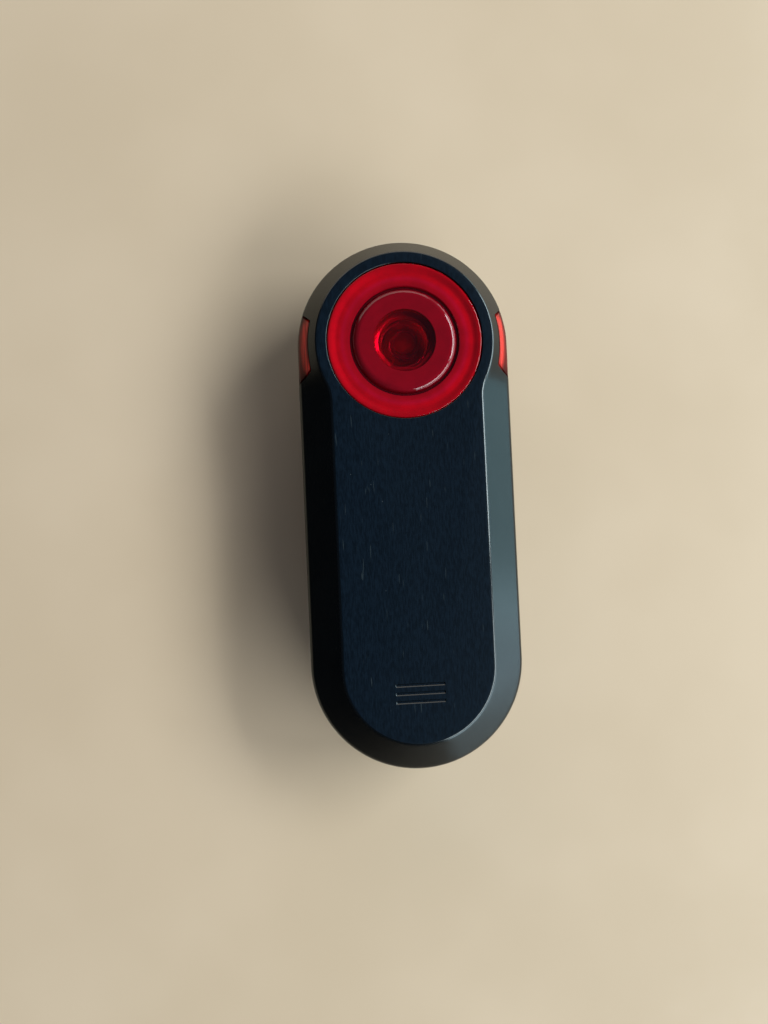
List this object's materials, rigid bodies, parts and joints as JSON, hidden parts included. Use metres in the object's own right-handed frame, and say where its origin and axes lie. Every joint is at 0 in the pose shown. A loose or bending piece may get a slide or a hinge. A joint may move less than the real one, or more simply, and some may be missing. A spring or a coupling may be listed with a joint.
{
  "type": "bicycle rear light",
  "caption": "Slim bicycle rear light with a flat radar panel, a round red lens with a raised centre, red side windows, a power key, a capped charging port and a quarter-turn mount.",
  "frame": {"origin": "centre of the end face of the quarter-turn mount, below the middle of the housing", "axes": "+Z out of the front panel, +Y along the housing towards the lens end"},
  "size_m": [0.0396, 0.0986, 0.0197],
  "materials": {
    "shell_black": "fine satin texture",
    "lens_red": "clear red, polished",
    "window_red": "clear red, polished",
    "rubber_black": "matte",
    "steel": "plain",
    "white_plastic": "smooth",
    "optic_clear": "clear, polished",
    "board_white": "white solder mask",
    "board_green": "green solder mask",
    "chip_black": "moulded",
    "led_yellow": "phosphor coated",
    "copper": "plain",
    "cell_grey": "foil pouch",
    "foam_grey": "open foam",
    "flex_amber": "film"
  },
  "bodies": {
    "light": {"front_housing": "shell_black", "rear_housing": "shell_black", "housing_gasket": "rubber_black", "housing_screws": "steel", "main_lens": "lens_red", "lens_gasket": "rubber_black", "side_lens_left": "window_red", "side_lens_right": "window_red", "reflector": "white_plastic", "collimator_lens": "optic_clear", "led_board": "board_white", "led_board_screws": "steel", "main_led": "led_yellow", "ring_leds": "led_yellow", "side_leds": "led_yellow", "tact_switch": "chip_black", "status_led": "led_yellow", "status_light_pipe": "optic_clear", "main_board": "board_green", "main_chips": "chip_black", "usb_port": "steel", "radar_board": "board_green", "antenna_patches": "copper", "radar_shield": "steel", "radar_chip": "chip_black", "board_connector": "chip_black", "board_spacers": "steel", "board_screws": "steel", "battery": "cell_grey", "battery_pad": "foam_grey", "battery_tabs": "copper", "led_flex": "flex_amber", "port_cap_anchor": "rubber_black", "mount_insert": "shell_black", "mount_screws": "steel"},
    "power_key": {"power_button": "rubber_black", "button_oring": "rubber_black", "button_clip": "steel", "switch_plunger": "white_plastic"},
    "port_flap": {"port_cap": "rubber_black"}
  },
  "joints": [
    {"name": "key_press", "type": "slide", "parent": "light", "child": "power_key", "axis": [0, -1, 0], "range_m": [0, 0.00035], "stiffness_N_per_m": 4000},
    {"name": "port_cap_hinge", "type": "hinge", "parent": "light", "child": "port_flap", "pos_m": [0, -0.0292, 0.004], "axis": [1, 0, 0], "range_deg": [0, 150]}
  ]
}
